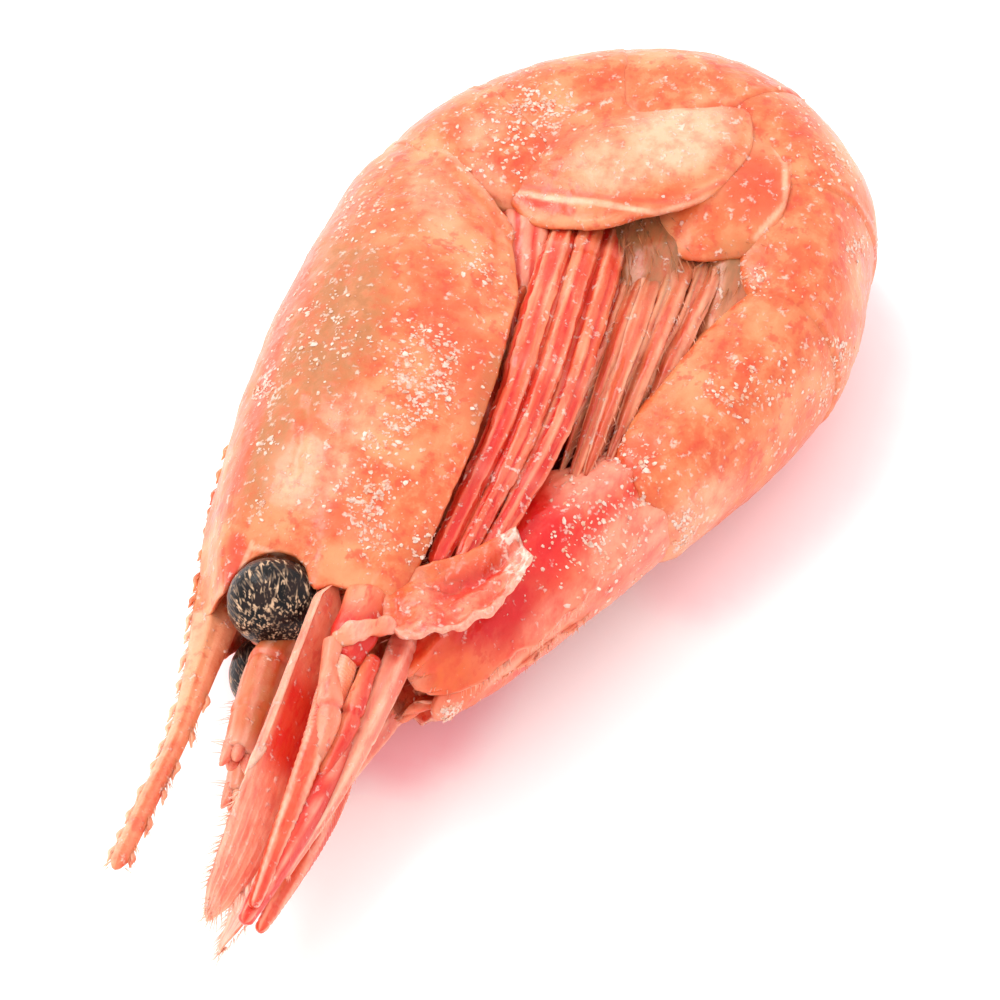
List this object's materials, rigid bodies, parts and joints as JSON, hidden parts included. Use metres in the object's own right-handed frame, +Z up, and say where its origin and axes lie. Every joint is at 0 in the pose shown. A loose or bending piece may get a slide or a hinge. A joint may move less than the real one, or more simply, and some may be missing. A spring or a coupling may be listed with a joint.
{
  "type": "cooked northern prawn in its shell",
  "caption": "Whole cooked prawn in its shell, lying on its right side with the tail folded forward under the head, frosted with ice.",
  "frame": {"origin": "middle of the part's box in plan, on the surface that it lies on", "axes": "+X from the head towards the bend of the tail, +Y from the folded tail towards the back of the carapace, +Z up, out of the animal's left side"},
  "size_m": [0.0554, 0.026, 0.0123],
  "materials": {
    "shell": "cooked coral-orange shell, slightly see-through and glossy, with pale margins and white frost",
    "limb": "glossy orange-pink shell of legs and feelers, with darker red joints",
    "swimmeret": "thin grey-brown to orange swimming legs, damp",
    "tail_fan": "thin red-orange tail blades, glossy, with pale edges",
    "eye": "dark grey-black eye, glossy, with fine pale scratches",
    "frost": "white frost and small crumbs of ice on the shell"
  },
  "bodies": {
    "root": {"carapace": "shell", "eyestalks": "limb", "eye_left": "eye", "eye_right": "eye", "antennule_left": "limb", "antennule_right": "limb", "antenna_base_left": "limb", "antenna_base_right": "limb", "antenna_flagellum_left": "limb", "antenna_flagellum_right": "limb", "antennal_scale_left": "limb", "antennal_scale_right": "limb", "maxilliped_left": "limb", "maxilliped_right": "limb", "mouth_plate_left": "limb", "mouth_plate_right": "limb", "thorax": "limb", "leg_1_left": "limb", "leg_2_left": "limb", "leg_3_left": "limb", "leg_4_left": "limb", "leg_5_left": "limb", "leg_1_right": "limb", "leg_2_right": "limb", "leg_3_right": "limb", "leg_4_right": "limb", "leg_5_right": "limb", "abdomen_segment_1": "shell", "abdomen_segment_2": "shell", "abdomen_segment_3": "shell", "abdomen_segment_4": "shell", "abdomen_segment_5": "shell", "abdomen_segment_6": "shell", "pleopod_1_left": "swimmeret", "pleopod_2_left": "swimmeret", "pleopod_3_left": "swimmeret", "pleopod_4_left": "swimmeret", "pleopod_5_left": "swimmeret", "pleopod_1_right": "swimmeret", "pleopod_2_right": "swimmeret", "pleopod_3_right": "swimmeret", "pleopod_4_right": "swimmeret", "pleopod_5_right": "swimmeret", "telson": "tail_fan", "uropod_outer_left": "tail_fan", "uropod_inner_left": "tail_fan", "uropod_outer_right": "tail_fan", "uropod_inner_right": "tail_fan"}
  },
  "joints": []
}
